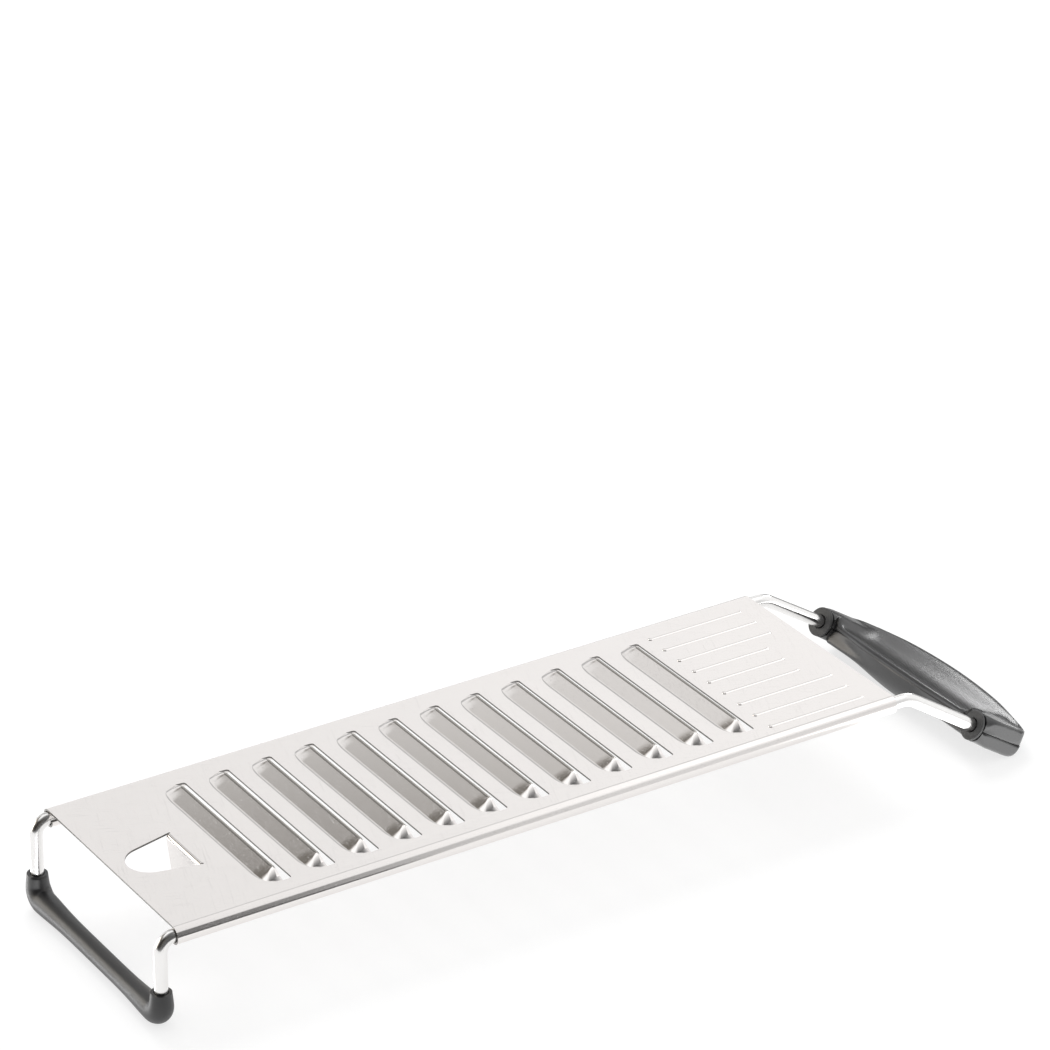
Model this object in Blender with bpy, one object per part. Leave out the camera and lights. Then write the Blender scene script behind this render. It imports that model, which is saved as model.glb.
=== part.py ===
"""A flat potato slicer: a louvred steel plate on a bent wire frame, with a foot and a handle.

Run with Blender 4.5. Units are metres, +Z up, +X from the foot to the handle, and the
slicer stands on Z = 0 with its length and width centred on the origin. The plate is one
sheet: its long edges are curled round the wire, twelve cutting louvres are lanced out of
it, nine guide beads are pressed into its end, and a hook tongue is bent down near the foot.
"""

import math

import bmesh
import bpy
from mathutils import Matrix, Vector

# Wire and sheet
WIRE_DIAMETER = 0.0055
WIRE_SPACING = 0.1046
SHEET = 0.0008
SEAT_GAP = 0.0003
PLATE_LENGTH = 0.333
PLATE_HEIGHT = 0.0424

# Curled edges
CURL_WRAP = math.radians(270)
CURL_STEPS = 12

# Cutting louvres
LOUVRE_COUNT = 12
LOUVRE_OFFSET = -0.0014
LOUVRE_SPAN = 0.0874
LOUVRE_RISE = 0.0035
FIRST_SLIT = 0.0556
SLIT_WIDTH = 0.004
SLIT_CORNER = 0.0012
RAMP_WIDTH = 0.0082
LIP_INSET = 0.0072
CREASE_WIDTH = 0.0034
CREASE_END = 0.0024
FOLD_CORNER = 0.0095
GROUND_EDGE = 0.0012
KEEN_EDGE = 0.00015

# Guide beads
BEAD_COUNT = 9
BEAD_OFFSET = -0.0022
BEAD_SPACING = 0.01115
BEAD_START = 0.006
BEAD_LONG = 0.0462
BEAD_SHORT = 0.0373
BEAD_WIDTH = 0.0017
BEAD_RISE = 0.0006
BEAD_MARGIN = 0.0107
SHORT_BEADS = (3, 4, 5)

# Hook tongue and its window
TONGUE_BEND = 0.0318
TONGUE_OFFSET = -0.0035
TONGUE_WIDTH = 0.0268
TONGUE_LENGTH = 0.0247
TONGUE_TIP_RADIUS = 0.0095
TONGUE_BEND_RADIUS = 0.0009
TONGUE_KERF = 0.0008

# Wire frame
LEG_REACH = 0.0057
LEG_LEAN = 0.0009
LEG_BEND = 0.006
FOOT_BEND = 0.006
NECK_REACH = 0.0085
NECK_BEND = 0.012
BEND_STEPS = 7
SOCKET_DEPTH = 0.020

# Foot sleeve
SLEEVE_RADIUS = 0.0042
SLEEVE_SWELL = 0.0011
SLEEVE_SWELL_ON_BAR = 0.016
SLEEVE_SWELL_ON_LEG = 0.0065
SLEEVE_ON_LEG = 0.0047
SLEEVE_SIDES = 16
SLEEVE_BAR_STEPS = 16
PAD_DEPTH = 0.0004

# Handle
COLLAR_REACH = 0.03955
COLLAR_SPACING = 0.1099
COLLAR_DROP = 0.0207
TUBE_RADIUS = 0.0065
HANDLE_DEPTH = 0.0339
HANDLE_BOW = 0.0086
CREST_HEIGHT = 0.0207
RIM_HEIGHT = 0.0102
SHOULDER_RECESS = 0.003
SHOULDER_DROP = 0.002
COVER_THICKNESS = 0.0012
END_ROUND = 0.0015

# Collars
FLANGE = 0.0012
GROOVE = 0.0006
COLLAR_NECK_RADIUS = 0.0038
COLLAR_LENGTH = 0.008
COLLAR_SIDES = 28

# Worked-out places
WIRE_RADIUS = WIRE_DIAMETER / 2
CURL_INNER_RADIUS = WIRE_RADIUS + SEAT_GAP
CURL_RADIUS = CURL_INNER_RADIUS + SHEET
WIRE_Z = PLATE_HEIGHT - CURL_RADIUS
SHEET_UNDERSIDE = PLATE_HEIGHT - SHEET
BAR_Z = SLEEVE_RADIUS + SLEEVE_SWELL - PAD_DEPTH
COLLAR_X = PLATE_LENGTH + COLLAR_REACH
COLLAR_Z = WIRE_Z - COLLAR_DROP
COLLAR_Y = COLLAR_SPACING / 2
HANDLE_HALF_WIDTH = COLLAR_Y + TUBE_RADIUS
LAST_SLIT = PLATE_LENGTH - BEAD_MARGIN - BEAD_LONG - BEAD_START
LOUVRE_PITCH = (LAST_SLIT - FIRST_SLIT) / (LOUVRE_COUNT - 1)
LIP_LENGTH = LOUVRE_SPAN - 2 * LIP_INSET
SLOPE = math.atan2(COLLAR_DROP, COLLAR_REACH - NECK_REACH)
BAR_X = -LEG_REACH - LEG_LEAN
FOOT_X = BAR_X - (SLEEVE_RADIUS + SLEEVE_SWELL) * math.cos(math.pi / SLEEVE_SIDES)
HANDLE_X = COLLAR_X + HANDLE_DEPTH
BORE_RADIUS = WIRE_RADIUS + SEAT_GAP
CUTTER_OVERRUN = 0.006

# The handle's section in the middle: shares of its depth, and of its rise from rim to crest
MIDDLE_TOP_SHARES = (
    (-0.018, 0.95), (0.035, 1.0), (0.12, 0.80), (0.25, 0.45), (0.42, 0.18),
    (0.60, 0.05), (0.77, 0.02), (0.91, 0.0), (0.98, -0.09),
)
# Its underside and the wall to the plate: shares of its depth, and of the rim's height
MIDDLE_UNDER_SHARES = (
    (1.0, 0.73), (0.985, 0.35), (0.90, 0.0), (0.60, 0.0), (0.32, 0.0),
    (0.16, 0.25), (0.03, 0.62), (-0.03, 1.08), (-0.035, 1.5),
)
# The same lines at the socket tubes: shares of the tube's length, and of its radius
TUBE_TOP_SHARES = (
    (0.0, 1.0), (0.10, 1.0), (0.22, 1.0), (0.36, 1.0), (0.50, 1.0),
    (0.65, 1.0), (0.80, 1.0), (0.92, 0.97), (0.985, 0.82),
)
TUBE_UNDER_SHARES = (
    (1.0, 0.0), (0.985, -0.60), (0.87, -0.97), (0.62, -1.0), (0.42, -1.0),
    (0.25, -1.0), (0.08, -1.0), (0.0, -0.90), (0.0, -0.40),
)
# Where the handle changes form, as shares of COLLAR_Y, and of TUBE_RADIUS inside COLLAR_Y
SHOULDER_SHARES = (0.30, 0.80)
UNDERSIDE_SHARES = (0.10, 0.70)
TUBE_SIDE_SHARES = (1.60, 0.85)
TUBE_FRONT_SHARES = (1.0, 0.85)
# How much wider the shoulder beside a tube is at the handle's outer side
SHOULDER_SPREAD_SHARE = 2.2
# Share of the tube's length over which its round front turns square
TUBE_SQUARE_SHARE = 0.35
# Powers of the curve that rounds the tube's outer side: a circle, and a rounded square
ROUND_POWER = 2
SQUARE_POWER = 8
TUBE_STATION_SHARES = (
    0.985, 0.93, 0.82, 0.62, 0.34, 0.0, -0.34, -0.62, -0.80, -0.91, -1.0, -1.2, -1.5, -1.9,
)
MIDDLE_STATION_SHARES = (0.70, 0.60, 0.50, 0.38, 0.20)


def remove_scene():
    for obj in list(bpy.data.objects):
        bpy.data.objects.remove(obj, do_unlink=True)


def add_material(name, colour, roughness, metallic):
    material = bpy.data.materials.new(name)
    material.use_nodes = True
    shader = material.node_tree.nodes["Principled BSDF"]
    shader.inputs["Base Color"].default_value = (*colour, 1.0)
    shader.inputs["Roughness"].default_value = roughness
    shader.inputs["Metallic"].default_value = metallic
    material.diffuse_color = (*colour, 1.0)
    return material


def sheet_steel():
    return add_material("sheet_steel", (0.62, 0.60, 0.57), 0.34, 1.0)


def wire_steel():
    return add_material("wire_steel", (0.72, 0.71, 0.70), 0.22, 1.0)


def foot_rubber():
    return add_material("foot_rubber", (0.022, 0.022, 0.024), 0.55, 0.0)


def handle_plastic():
    return add_material("handle_plastic", (0.016, 0.016, 0.018), 0.32, 0.0)


def cover_plastic():
    return add_material("cover_plastic", (0.013, 0.013, 0.015), 0.28, 0.0)


def collar_plastic():
    return add_material("collar_plastic", (0.045, 0.045, 0.047), 0.62, 0.0)


def add_object(name, data, parent, material, location=(0, 0, 0)):
    obj = bpy.data.objects.new(name, data)
    bpy.context.collection.objects.link(obj)
    obj.parent = parent
    obj.location = location
    obj.data.materials.append(material)
    return obj


def finish_mesh(bm, name, sharp_angle=math.radians(35)):
    bmesh.ops.recalc_face_normals(bm, faces=bm.faces)
    mesh = bpy.data.meshes.new(name)
    bm.to_mesh(mesh)
    bm.free()
    mesh.shade_smooth()
    mesh.set_sharp_from_angle(angle=sharp_angle)
    return mesh


def ease(share):
    """Smooth 0 to 1."""
    share = min(max(share, 0.0), 1.0)
    return share * share * (3 - 2 * share)


def smooth_line(points, steps):
    """A Catmull-Rom curve through the points, with this many steps from each to the next."""
    ends = [2 * points[0] - points[1], *points, 2 * points[-1] - points[-2]]
    line = []
    for before, start, end, after in zip(ends, ends[1:], ends[2:], ends[3:]):
        for step in range(steps):
            t = step / steps
            line.append(
                start
                + (end - before) * (t / 2)
                + (before * 2 - start * 5 + end * 4 - after) * (t * t / 2)
                + (start * 3 - before - end * 3 + after) * (t**3 / 2)
            )
    return [*line, points[-1]]


def add_loop(bm, points):
    """Vertices at the points, joined in a closed loop of edges."""
    verts = [bm.verts.new(point) for point in points]
    for vert, following in zip(verts, verts[1:] + verts[:1]):
        bm.edges.new((vert, following))
    return verts


def join_rings(bm, rings, closed=False):
    pairs = list(zip(rings, rings[1:] + rings[:1])) if closed else list(zip(rings, rings[1:]))
    for ring, following in pairs:
        for i in range(len(ring)):
            j = (i + 1) % len(ring)
            bm.faces.new((ring[i], ring[j], following[j], following[i]))


def ramp_rise(share):
    """The ramp's height at a share of its width: a tight fold, then a straight climb."""
    fold_share = 0.2
    slope = 1 / (1 - fold_share / 2)
    if share < fold_share:
        return slope * share * share / (2 * fold_share)
    return slope * (share - fold_share / 2)


def louvre_row(y):
    """A row across one louvre at distance y from the middle, from its fold to its lip.

    Each point is (distance in front of the lip, height). Past the lip's straight length a
    crease runs from the lip down to the end of the fold, and the sheet beyond it closes the
    louvre's end.
    """
    end = LOUVRE_SPAN / 2
    crease_foot = end - CREASE_END
    start = LIP_LENGTH / 2
    into_corner = max(y - (crease_foot - FOLD_CORNER), 0.0) / FOLD_CORNER
    round_off = 1 - math.sqrt(max(1 - into_corner**2, 0.0))
    fold = RAMP_WIDTH - (RAMP_WIDTH - GROUND_EDGE - CREASE_WIDTH) * round_off
    into_end = max(y - start, 0.0) / (crease_foot - start)
    crease = GROUND_EDGE + CREASE_WIDTH * into_end
    height = LOUVRE_RISE * ramp_rise(1 - GROUND_EDGE / RAMP_WIDTH) * (1 - into_end)
    width_shares = (0.0, 0.1, 0.22, 0.6, 1.0)
    row = [
        (fold + (crease - fold) * share, height * ramp_rise(share) / ramp_rise(1.0))
        for share in width_shares
    ]
    lip_height = LOUVRE_RISE * min((end - y) / (end - start), 1.0)
    return [*row, (0.0, lip_height)]


def louvre_stations():
    """Places along half a louvre where it has a row of points."""
    start = LIP_LENGTH / 2
    crease_foot = LOUVRE_SPAN / 2 - CREASE_END
    corner = crease_foot - FOLD_CORNER
    end_shares = (0.0, 0.35, 0.65, 0.88)
    return [0.0, corner, *(start + share * (crease_foot - start) for share in end_shares)]


def add_louvre(bm, slit_x, keen_verts):
    """One lanced louvre: a ramp that rises to a keen edge beside its open slit."""
    lip_x = slit_x - SLIT_WIDTH
    half = LOUVRE_SPAN / 2
    stations = louvre_stations()
    rows = []
    for y in [-y for y in reversed(stations[1:])] + stations:
        row = [bm.verts.new((lip_x - ahead, y, z)) for ahead, z in louvre_row(abs(y))]
        keen_verts.append(row[-1])
        rows.append(row)
    for row, following in zip(rows, rows[1:]):
        for i in range(len(row) - 1):
            bm.faces.new((row[i], row[i + 1], following[i + 1], following[i]))
    crease_x = lip_x - GROUND_EDGE - CREASE_WIDTH
    ends = []
    for side, row in ((-1, rows[0]), (1, rows[-1])):
        foot = bm.verts.new((crease_x, side * (half - CREASE_END), 0))
        tip = bm.verts.new((lip_x, side * half, 0))
        for i in range(len(row) - 1):
            bm.faces.new((foot, row[i + 1], row[i]))
        bm.faces.new((foot, tip, row[-1]))
        ends.append((foot, tip))
    corner = SLIT_CORNER
    inset = corner * (1 - math.sqrt(0.5))
    slit = [
        (slit_x - corner, half), (slit_x - inset, half - inset), (slit_x, half - corner),
        (slit_x, corner - half), (slit_x - inset, inset - half), (slit_x - corner, -half),
    ]
    slit_verts = [bm.verts.new((x, y, 0)) for x, y in slit]
    (near_foot, near_tip), (far_foot, far_tip) = ends
    outline = [*(row[0] for row in rows), far_foot, far_tip, *slit_verts, near_tip, near_foot]
    for vert, following in zip(outline, outline[1:] + outline[:1]):
        if bm.edges.get((vert, following)) is None:
            bm.edges.new((vert, following))


def bead_ends(number):
    """Where a guide bead starts and ends along the plate."""
    length = BEAD_SHORT if number in SHORT_BEADS else BEAD_LONG
    start = LAST_SLIT + BEAD_START
    return start, start + length


def add_bead(bm, start, end, y):
    """One pressed bead: a rounded rib with round ends."""
    half = BEAD_WIDTH / 2
    steps = 4
    rings = []
    for width_share, rise_share in ((1.0, 0.0), (0.62, 0.7)):
        radius = half * width_share
        ring = []
        for centre, first in ((end - half, math.pi / 2), (start + half, -math.pi / 2)):
            for step in range(steps + 1):
                angle = first - math.pi * step / steps
                x = centre + radius * math.cos(angle)
                ring.append(bm.verts.new((x, y + radius * math.sin(angle), BEAD_RISE * rise_share)))
        rings.append(ring)
    join_rings(bm, rings)
    inner = rings[-1]
    ends = (end - half, start + half)
    crest = [bm.verts.new((x, y, BEAD_RISE)) for x in ends]
    for i in range(steps):
        bm.faces.new((inner[i], inner[i + 1], crest[0]))
        bm.faces.new((inner[steps + 1 + i], inner[steps + 2 + i], crest[1]))
    bm.faces.new((inner[steps], inner[steps + 1], crest[1], crest[0]))
    bm.faces.new((inner[-1], inner[0], crest[0], crest[1]))


def tongue_outline(grow):
    """The tongue's sides and round tip, as (distance from the bend, place across)."""
    half = TONGUE_WIDTH / 2 + grow
    radius = TONGUE_TIP_RADIUS + grow
    centre = TONGUE_LENGTH - TONGUE_TIP_RADIUS
    narrowing = math.atan2(half, centre) - math.asin(radius / math.hypot(half, centre))
    steps = 8
    points = [(0.0, half)]
    for step in range(steps + 1):
        angle = (math.pi / 2 - narrowing) * (1 - 2 * step / steps)
        points.append((centre + radius * math.cos(angle), radius * math.sin(angle)))
    points.append((0.0, -half))
    return [(distance, across + TONGUE_OFFSET) for distance, across in points]


def add_window_and_tongue(bm):
    """The window in the sheet, and the tongue that its straight side carries, bent down."""
    near = TONGUE_OFFSET - TONGUE_WIDTH / 2
    far = TONGUE_OFFSET + TONGUE_WIDTH / 2
    rows = []
    bend_steps = 4
    for step in range(bend_steps + 1):
        angle = math.pi / 2 * step / bend_steps
        x = TONGUE_BEND - TONGUE_BEND_RADIUS * math.sin(angle)
        z = -TONGUE_BEND_RADIUS * (1 - math.cos(angle))
        rows.append([bm.verts.new((x, near, z)), bm.verts.new((x, far, z))])
    for row, following in zip(rows, rows[1:]):
        bm.faces.new((row[0], row[1], following[1], following[0]))
    face = [rows[-1][1]]
    for distance, across in tongue_outline(0)[1:-1]:
        face.append(
            bm.verts.new((TONGUE_BEND - TONGUE_BEND_RADIUS, across, -TONGUE_BEND_RADIUS - distance))
        )
    bm.faces.new([*face, rows[-1][0]])
    kerf_end = TONGUE_KERF / 2
    opening = tongue_outline(TONGUE_KERF)
    opening = [(-kerf_end, far + kerf_end), *opening, (-kerf_end, near - kerf_end)]
    window = [bm.verts.new((TONGUE_BEND - distance, across, 0)) for distance, across in opening]
    outline = [rows[0][1], *window, rows[0][0]]
    for vert, following in zip(outline, outline[1:]):
        bm.edges.new((vert, following))


def add_plate(parent):
    """The plate as the underside of its sheet, thickened upwards by a Solidify modifier."""
    bm = bmesh.new()
    keen_verts = []
    for number in range(LOUVRE_COUNT):
        add_louvre(bm, FIRST_SLIT + number * LOUVRE_PITCH, keen_verts)
    bmesh.ops.translate(bm, verts=bm.verts, vec=(0, LOUVRE_OFFSET, 0))
    for number in range(BEAD_COUNT):
        start, end = bead_ends(number)
        y = BEAD_OFFSET + (number - (BEAD_COUNT - 1) / 2) * BEAD_SPACING
        add_bead(bm, start, end, y)
    add_window_and_tongue(bm)
    half = WIRE_SPACING / 2
    corners = add_loop(bm, [
        (0, -half, 0), (PLATE_LENGTH, -half, 0), (PLATE_LENGTH, half, 0), (0, half, 0),
    ])
    flat_edges = [
        edge for edge in bm.edges
        if len(edge.link_faces) < 2 and all(abs(vert.co.z) < SHEET / 100 for vert in edge.verts)
    ]
    flat = bmesh.ops.triangle_fill(
        bm, edges=flat_edges, use_beauty=True, use_dissolve=False, normal=(0, 0, 1)
    )
    for element in flat["geom"]:
        if isinstance(element, bmesh.types.BMFace) and element.normal.z < 0:
            element.normal_flip()
    for side, (start, end) in ((-1, (0, 1)), (1, (2, 3))):
        edge = bm.edges.get((corners[start], corners[end]))
        bmesh.ops.spin(
            bm, geom=[*edge.verts, edge], cent=(0, side * half, -CURL_INNER_RADIUS),
            axis=(-side, 0, 0), angle=CURL_WRAP, steps=CURL_STEPS, use_duplicate=False,
        )
    bm.verts.index_update()
    keen = {vert.index for vert in keen_verts}
    count = len(bm.verts)
    bmesh.ops.recalc_face_normals(bm, faces=bm.faces)
    top = max(bm.faces, key=lambda face: face.calc_area())
    if top.normal.z < 0:
        bmesh.ops.reverse_faces(bm, faces=bm.faces)
    mesh = bpy.data.meshes.new("cutting_plate")
    bm.to_mesh(mesh)
    bm.free()
    plate = add_object("cutting_plate", mesh, parent, sheet_steel(), (0, 0, SHEET_UNDERSIDE))
    thickness = plate.vertex_groups.new(name="full_thickness")
    thickness.add([i for i in range(count) if i not in keen], 1.0, "REPLACE")
    thickness.add(sorted(keen), KEEN_EDGE / SHEET, "REPLACE")
    solidify = plate.modifiers.new("sheet", "SOLIDIFY")
    solidify.thickness = SHEET
    solidify.offset = 1
    solidify.use_even_offset = True
    solidify.vertex_group = thickness.name
    plate.modifiers.new("flat_faces_lead", "WEIGHTED_NORMAL").keep_sharp = True
    mesh.shade_smooth()
    mesh.set_sharp_from_angle(angle=math.radians(40))
    return plate


def rounded_path(corners, radii, steps):
    """A line through the corners, each inner one rounded by its own radius."""
    path = [corners[0]]
    for before, corner, after, radius in zip(corners, corners[1:], corners[2:], radii):
        back = (before - corner).normalized()
        ahead = (after - corner).normalized()
        half_turn = (math.pi - back.angle(ahead)) / 2
        centre = corner + (back + ahead).normalized() * (radius / math.cos(half_turn))
        arm = corner + back * (radius * math.tan(half_turn)) - centre
        axis = back.cross(ahead).normalized()
        for step in range(steps + 1):
            turn = Matrix.Rotation(-2 * half_turn * step / steps, 3, axis)
            path.append(centre + turn @ arm)
    return [*path, corners[-1]]


def neck(side):
    """The wire's bend before the handle, the collar's face centre and the way into it."""
    bend = Vector((PLATE_LENGTH + NECK_REACH, side * WIRE_SPACING / 2, WIRE_Z))
    collar = Vector((COLLAR_X, side * COLLAR_Y, COLLAR_Z))
    return bend, collar, (collar - bend).normalized()


def foot_corners():
    """The four corners of the frame's foot: down one leg, across and up the other."""
    half = WIRE_SPACING / 2
    return [
        Vector((-LEG_REACH, -half, WIRE_Z)), Vector((BAR_X, -half, BAR_Z)),
        Vector((BAR_X, half, BAR_Z)), Vector((-LEG_REACH, half, WIRE_Z)),
    ]


def wire_corners():
    near_bend, near_collar, near_way = neck(-1)
    far_bend, far_collar, far_way = neck(1)
    return [
        near_collar + near_way * SOCKET_DEPTH, near_bend, *foot_corners(),
        far_bend, far_collar + far_way * SOCKET_DEPTH,
    ]


def add_wire(parent):
    """One bent wire: both its ends sit in the handle, and its middle is the foot's bar."""
    radii = (NECK_BEND, LEG_BEND, FOOT_BEND, FOOT_BEND, LEG_BEND, NECK_BEND)
    path = rounded_path(wire_corners(), radii, BEND_STEPS)
    curve = bpy.data.curves.new("wire_frame", "CURVE")
    curve.dimensions = "3D"
    curve.bevel_depth = WIRE_RADIUS
    curve.bevel_resolution = 4
    curve.use_fill_caps = True
    spline = curve.splines.new("POLY")
    spline.points.add(len(path) - 1)
    for point, place in zip(spline.points, path):
        point.co = (*place, 1)
    spline.use_smooth = True
    return add_object("wire_frame", curve, parent, wire_steel())


def sleeve_path():
    """The sleeve's centre line: from just above one foot bend to just above the other."""
    corners = foot_corners()
    up_leg = (FOOT_BEND + SLEEVE_ON_LEG) / (WIRE_Z - BAR_Z)
    corners[0] = corners[1].lerp(corners[0], up_leg)
    corners[3] = corners[2].lerp(corners[3], up_leg)
    path = rounded_path(corners, (FOOT_BEND, FOOT_BEND), BEND_STEPS)
    middle = len(path) // 2
    half = WIRE_SPACING / 2 - FOOT_BEND
    steps = SLEEVE_BAR_STEPS
    shares = [2 * step / steps - 1 for step in range(1, steps)]
    bar = [Vector((BAR_X, half * share, BAR_Z)) for share in shares]
    return path[:middle] + bar + path[middle:]


def sleeve_swell(place):
    """How much the sleeve swells here, as a share: most at each corner's heel."""
    heel = WIRE_SPACING / 2 - FOOT_BEND / 2
    along_bar = max(heel - abs(place.y), 0.0) / SLEEVE_SWELL_ON_BAR
    up_leg = max(place.z - BAR_Z - FOOT_BEND / 4, 0.0) / SLEEVE_SWELL_ON_LEG
    return math.exp(-(along_bar**2) - up_leg**2)


def ring_round(bm, place, ahead, radius, lowest=None):
    """A ring of vertices round a line that keeps close to a plane of constant X."""
    side = (Vector((1, 0, 0)) - ahead * ahead.x).normalized()
    up = side.cross(ahead)
    ring = []
    for step in range(SLEEVE_SIDES):
        angle = 2 * math.pi * (step + 0.5) / SLEEVE_SIDES
        point = place + radius * (math.cos(angle) * side + math.sin(angle) * up)
        if lowest is not None:
            point.z = max(point.z, lowest)
        ring.append(bm.verts.new(point))
    return ring


def add_sleeve(parent):
    """The rubber sleeve on the foot, swollen at its corners, with a flat pad under each."""
    path = sleeve_path()
    bm = bmesh.new()
    outer, inner = [], []
    for i, place in enumerate(path):
        before = path[max(i - 1, 0)]
        after = path[min(i + 1, len(path) - 1)]
        ahead = (after - before).normalized()
        radius = SLEEVE_RADIUS + SLEEVE_SWELL * sleeve_swell(place)
        outer.append(ring_round(bm, place, ahead, radius, lowest=0))
        inner.append(ring_round(bm, place, ahead, BORE_RADIUS))
    join_rings(bm, [*outer, *reversed(inner)], closed=True)
    mesh = finish_mesh(bm, "foot_sleeve")
    return add_object("foot_sleeve", mesh, parent, foot_rubber())


def handle_reach(y):
    """How far the handle reaches out from the collars at this place across."""
    return HANDLE_DEPTH - HANDLE_BOW * (y / HANDLE_HALF_WIDTH) ** 2


def between(place, start, end):
    """How far a place is from start to end, eased, as a share."""
    return ease((place - start) / (end - start))


def tube_half_height(along_share, y):
    """Half the tube's height here: round in front, and square at its outer end."""
    out = min(abs(abs(y) - COLLAR_Y) / TUBE_RADIUS, 1.0)
    square = ease(along_share / TUBE_SQUARE_SHARE)
    if abs(y) < COLLAR_Y:
        circle = math.sqrt(1 - out**2)
        starts, ends = (COLLAR_Y - share * TUBE_RADIUS for share in TUBE_FRONT_SHARES)
        square = max(square, 1 - between(abs(y), starts, ends))
        return TUBE_RADIUS * (circle + (1 - circle) * square)
    power = ROUND_POWER + (SQUARE_POWER - ROUND_POWER) * square
    return TUBE_RADIUS * (1 - out**power) ** (1 / power)


def tube_keys(y, shares):
    """A line of the handle's section in its form at the socket tubes."""
    front_starts, front_ends = (COLLAR_Y - share * TUBE_RADIUS for share in TUBE_FRONT_SHARES)
    front = SHOULDER_RECESS * (1 - between(abs(y), front_starts, front_ends))
    length = (handle_reach(y) - TUBE_RADIUS * math.sin(SLOPE)) / math.cos(SLOPE)
    out = max(abs(y) - COLLAR_Y, 0.0) / TUBE_RADIUS
    shorter = END_ROUND * (1 - math.sqrt(1 - out**2))
    keys = []
    for along_share, across_share in shares:
        along = front + along_share * (length - shorter - front)
        across = across_share * tube_half_height(along_share, y)
        keys.append(Vector((
            along * math.cos(SLOPE) + across * math.sin(SLOPE),
            COLLAR_Z - along * math.sin(SLOPE) + across * math.cos(SLOPE),
        )))
    return keys


def middle_keys(y, shares, low, high):
    """A line of the handle's section in its form between the tubes."""
    shoulder = between(abs(y), *(COLLAR_Y * share for share in SHOULDER_SHARES))
    front = SHOULDER_RECESS * shoulder
    depth = handle_reach(y) - front
    top = high - SHOULDER_DROP * shoulder * (low > 0)
    return [
        Vector((front + along * depth, low + rise * (top - low))) for along, rise in shares
    ]


def top_keys(y, seat_depth=None):
    """The handle's top line here, or the line where its cover sits on its body."""
    starts, ends = (COLLAR_Y - share * TUBE_RADIUS for share in TUBE_SIDE_SHARES)
    spread = SHOULDER_SPREAD_SHARE * TUBE_RADIUS
    middle = middle_keys(y, MIDDLE_TOP_SHARES, RIM_HEIGHT, CREST_HEIGHT)
    tube = tube_keys(y, TUBE_TOP_SHARES)
    if seat_depth is not None:
        middle = [key - Vector((0, seat_depth)) for key in middle]
        tube = tube_keys(y, [(along, 0.0) for along, _ in TUBE_TOP_SHARES])
        tube = [key - Vector((0, seat_depth - COVER_THICKNESS)) for key in tube]
    keys = []
    for in_middle, at_tube, (along, _) in zip(middle, tube, TUBE_TOP_SHARES):
        if along > TUBE_SQUARE_SHARE and seat_depth is None:
            at_tube.y = max(at_tube.y, in_middle.y)
        keys.append(in_middle.lerp(at_tube, between(abs(y), starts - along * spread, ends)))
    return keys


def handle_stations():
    """Places across the handle where it has a section, closer together at the tubes."""
    half = [COLLAR_Y + share * TUBE_RADIUS for share in TUBE_STATION_SHARES]
    half += [share * COLLAR_Y for share in MIDDLE_STATION_SHARES]
    return [*half, 0.0, *(-y for y in reversed(half))]


def cover_section(y):
    top = smooth_line(top_keys(y), 2)
    seat = smooth_line(top_keys(y, COVER_THICKNESS), 2)
    return [*top, *reversed(seat)]


def body_section(y):
    seat = smooth_line(top_keys(y, COVER_THICKNESS + SEAT_GAP), 2)
    starts, ends = (share * COLLAR_Y for share in UNDERSIDE_SHARES)
    middle = middle_keys(y, MIDDLE_UNDER_SHARES, 0.0, RIM_HEIGHT)
    tube = tube_keys(y, TUBE_UNDER_SHARES)
    tube_share = between(abs(y), starts, ends)
    under = [in_middle.lerp(at_tube, tube_share) for in_middle, at_tube in zip(middle, tube)]
    wall = smooth_line([seat[-1], *under, seat[0]], 2)[1:-1]
    for point in wall:
        point.y = max(point.y, 0.0)
    return [*seat, *wall]


def add_loft(name, section, material, parent):
    """A body with the given section at each station across the handle."""
    bm = bmesh.new()
    rings = []
    for y in handle_stations():
        rings.append([bm.verts.new((x, y, z)) for x, z in section(y)])
    join_rings(bm, rings)
    bm.faces.new(rings[0])
    bm.faces.new(rings[-1])
    mesh = finish_mesh(bm, name)
    return add_object(name, mesh, parent, material, (COLLAR_X, 0, 0))


def turned_mesh(name, profile):
    """A closed profile of (along, radius) points, turned about the X axis."""
    bm = bmesh.new()
    verts = add_loop(bm, [(along, 0, radius) for along, radius in profile])
    bmesh.ops.spin(
        bm, geom=[*verts, *bm.edges], cent=(0, 0, 0), axis=(1, 0, 0),
        angle=2 * math.pi, steps=COLLAR_SIDES, use_merge=True,
    )
    bmesh.ops.remove_doubles(bm, verts=bm.verts, dist=SEAT_GAP / 100)
    bmesh.ops.dissolve_degenerate(bm, edges=bm.edges, dist=SEAT_GAP / 100)
    return finish_mesh(bm, name)


def point_along_neck(obj, side):
    """Puts an object on its collar's face, with its X axis pointing into the handle."""
    _, collar, way = neck(side)
    obj.location = collar
    obj.rotation_mode = "QUATERNION"
    obj.rotation_quaternion = way.to_track_quat("X", "Z")


def add_socket_cutter(parent, side, name):
    """The space in the handle for one collar and one wire end."""
    seat = FLANGE + GROOVE
    neck_radius = COLLAR_NECK_RADIUS + SEAT_GAP
    neck_end = COLLAR_LENGTH + SEAT_GAP
    bore_end = SOCKET_DEPTH + SEAT_GAP
    clear = TUBE_RADIUS + CUTTER_OVERRUN / 2
    profile = [
        (-CUTTER_OVERRUN, 0), (-CUTTER_OVERRUN, clear), (seat, clear), (seat, neck_radius),
        (neck_end, neck_radius), (neck_end, BORE_RADIUS), (bore_end, BORE_RADIUS), (bore_end, 0),
    ]
    cutter = add_object(name, turned_mesh(name, profile), parent, handle_plastic())
    point_along_neck(cutter, side)
    cutter.hide_render = True
    cutter.display_type = "WIRE"
    return cutter


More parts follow.
